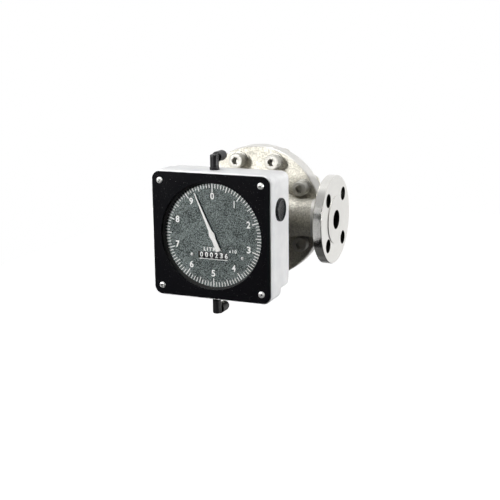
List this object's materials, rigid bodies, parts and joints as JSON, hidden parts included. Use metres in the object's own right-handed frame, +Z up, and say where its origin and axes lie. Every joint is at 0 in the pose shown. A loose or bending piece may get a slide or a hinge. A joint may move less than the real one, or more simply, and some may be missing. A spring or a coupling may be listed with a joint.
{
  "type": "positive displacement flow meter with dial register",
  "caption": "Flanged positive displacement flow meter: rotor chamber with bolted rear cover, and a square dial register with pointer and number counter on a hollow neck.",
  "frame": {"origin": "centre of the inlet flange's raised face, on the flow axis", "axes": "+X along the flow from inlet to outlet, +Z up, the dial looks along -Y"},
  "size_m": [0.25, 0.2289, 0.2214],
  "materials": {
    "cast_steel": "sand-cast stainless steel, blasted, machined on flanges and joint faces",
    "case_alloy": "die-cast aluminium, light grey satin coat",
    "plate_black": "gloss black enamel on sheet",
    "dial_grey": "dark grey-green dial paint with printed scale",
    "dial_black": "matte black",
    "pointer_white": "white paint on thin sheet",
    "screw_steel": "bright stainless steel",
    "shaft_steel": "ground stainless steel",
    "gear_brass": "cut brass",
    "magnet": "sintered magnet",
    "carbon": "carbon graphite bush",
    "seal_rubber": "black seal rubber",
    "gasket_grey": "grey sheet gasket",
    "fitting_black": "black moulded plastic",
    "window": "flat clear glass",
    "wheel_black": "black moulded number wheels with white figures"
  },
  "bodies": {
    "root": {"inlet_flange": "cast_steel", "outlet_flange": "cast_steel", "body_casting": "cast_steel", "rear_cover": "cast_steel", "register_adapter": "cast_steel", "bearing_plate": "shaft_steel", "bearing_plate_screws": "screw_steel", "cover_o_ring": "seal_rubber", "cover_screws": "screw_steel", "spring_washers": "screw_steel", "rotor_bushes": "carbon", "isolating_plate": "shaft_steel", "isolating_o_ring": "seal_rubber", "adapter_screws": "screw_steel", "gear_bracket": "gear_brass", "movement_rear_plate": "gear_brass", "movement_front_plate": "gear_brass", "movement_pillars": "gear_brass", "pointer_bush": "gear_brass", "counter_frame": "gear_brass", "register_case": "case_alloy", "case_screws": "screw_steel", "bezel_plate": "plate_black", "bezel_frame": "case_alloy", "case_gasket": "gasket_grey", "window_glass": "window", "dial_ring": "dial_black", "bezel_screws": "screw_steel", "dial_plate": "dial_grey", "dial_screws": "screw_steel", "side_plug": "fitting_black", "top_stud": "fitting_black", "bottom_stud": "fitting_black"},
    "rotor_low": {"rotor_low": "shaft_steel", "timing_gear_low": "shaft_steel", "drive_magnet": "magnet"},
    "rotor_top": {"rotor_top": "shaft_steel", "timing_gear_top": "shaft_steel"},
    "follower": {"follower_magnet": "magnet", "follower_shaft": "shaft_steel"},
    "transmission": {"transmission_shaft": "shaft_steel", "first_wheel": "gear_brass"},
    "idler": {"idler_shaft": "shaft_steel", "second_wheel": "gear_brass"},
    "pointer_arbor": {"pointer_shaft": "shaft_steel", "third_wheel": "gear_brass", "pointer": "pointer_white"},
    "counter_drive": {"counter_drive_shaft": "shaft_steel", "counter_drive_gear": "gear_brass"},
    "units_wheel": {"number_wheel_1": "wheel_black", "units_gear": "gear_brass"},
    "tens_wheel": {"number_wheel_2": "wheel_black"},
    "hundreds_wheel": {"number_wheel_3": "wheel_black"},
    "thousands_wheel": {"number_wheel_4": "wheel_black"},
    "ten_thousands_wheel": {"number_wheel_5": "wheel_black"},
    "hundred_thousands_wheel": {"number_wheel_6": "wheel_black"},
    "top_elbow": {"top_elbow": "fitting_black"},
    "top_collar": {"top_release_collar": "fitting_black"},
    "bottom_elbow": {"bottom_elbow": "fitting_black"},
    "bottom_collar": {"bottom_release_collar": "fitting_black"}
  },
  "joints": [
    {"name": "rotor_low_spin", "type": "hinge", "parent": "root", "child": "rotor_low", "pos_m": [0.125, 0, -0.01776], "axis": [0, 1, 0], "continuous": true},
    {"name": "rotor_top_spin", "type": "hinge", "parent": "root", "child": "rotor_top", "pos_m": [0.125, 0, 0.01776], "axis": [0, 1, 0], "continuous": true},
    {"name": "follower_spin", "type": "hinge", "parent": "root", "child": "follower", "pos_m": [0.125, -0.06, -0.01776], "axis": [0, 1, 0], "continuous": true},
    {"name": "transmission_spin", "type": "hinge", "parent": "root", "child": "transmission", "pos_m": [0.131, -0.08, 0], "axis": [0, 1, 0], "continuous": true},
    {"name": "idler_spin", "type": "hinge", "parent": "root", "child": "idler", "pos_m": [0.131, -0.115, 0.0225], "axis": [0, 1, 0], "continuous": true},
    {"name": "pointer_spin", "type": "hinge", "parent": "root", "child": "pointer_arbor", "pos_m": [0.131, -0.13, 0], "axis": [0, 1, 0], "continuous": true},
    {"name": "counter_drive_spin", "type": "hinge", "parent": "root", "child": "counter_drive", "pos_m": [0.131, -0.1407, -0.0072], "axis": [1, 0, 0], "continuous": true},
    {"name": "units_spin", "type": "hinge", "parent": "root", "child": "units_wheel", "pos_m": [0.131, -0.1407, -0.027], "axis": [1, 0, 0], "continuous": true},
    {"name": "tens_spin", "type": "hinge", "parent": "root", "child": "tens_wheel", "pos_m": [0.131, -0.1407, -0.027], "axis": [1, 0, 0], "continuous": true},
    {"name": "hundreds_spin", "type": "hinge", "parent": "root", "child": "hundreds_wheel", "pos_m": [0.131, -0.1407, -0.027], "axis": [1, 0, 0], "continuous": true},
    {"name": "thousands_spin", "type": "hinge", "parent": "root", "child": "thousands_wheel", "pos_m": [0.131, -0.1407, -0.027], "axis": [1, 0, 0], "continuous": true},
    {"name": "ten_thousands_spin", "type": "hinge", "parent": "root", "child": "ten_thousands_wheel", "pos_m": [0.131, -0.1407, -0.027], "axis": [1, 0, 0], "continuous": true},
    {"name": "hundred_thousands_spin", "type": "hinge", "parent": "root", "child": "hundred_thousands_wheel", "pos_m": [0.131, -0.1407, -0.027], "axis": [1, 0, 0], "continuous": true},
    {"name": "top_elbow_swivel", "type": "hinge", "parent": "root", "child": "top_elbow", "pos_m": [0.128, -0.14, 0.095], "axis": [0, 0, 1], "continuous": true},
    {"name": "bottom_elbow_swivel", "type": "hinge", "parent": "root", "child": "bottom_elbow", "pos_m": [0.128, -0.14, -0.095], "axis": [0, 0, 1], "continuous": true},
    {"name": "top_collar_press", "type": "slide", "parent": "top_elbow", "child": "top_collar", "axis": [0, -1, 0], "range_m": [0, 0.001]},
    {"name": "bottom_collar_press", "type": "slide", "parent": "bottom_elbow", "child": "bottom_collar", "axis": [0, -1, 0], "range_m": [0, 0.001]}
  ],
  "couplings": [
    {"joint": "rotor_top_spin", "follows": "rotor_low_spin", "ratio": -1},
    {"joint": "follower_spin", "follows": "rotor_low_spin", "ratio": 1},
    {"joint": "transmission_spin", "follows": "rotor_low_spin", "ratio": -0.25},
    {"joint": "idler_spin", "follows": "rotor_low_spin", "ratio": 0.05},
    {"joint": "pointer_spin", "follows": "rotor_low_spin", "ratio": -0.01},
    {"joint": "counter_drive_spin", "follows": "rotor_low_spin", "ratio": -0.001},
    {"joint": "units_spin", "follows": "rotor_low_spin", "ratio": 0.001},
    {"joint": "tens_spin", "follows": "rotor_low_spin", "ratio": 0.0001},
    {"joint": "hundreds_spin", "follows": "rotor_low_spin", "ratio": 0.00001},
    {"joint": "thousands_spin", "follows": "rotor_low_spin", "ratio": 0.000001},
    {"joint": "ten_thousands_spin", "follows": "rotor_low_spin", "ratio": 0.0000001},
    {"joint": "hundred_thousands_spin", "follows": "rotor_low_spin", "ratio": 0.00000001}
  ]
}
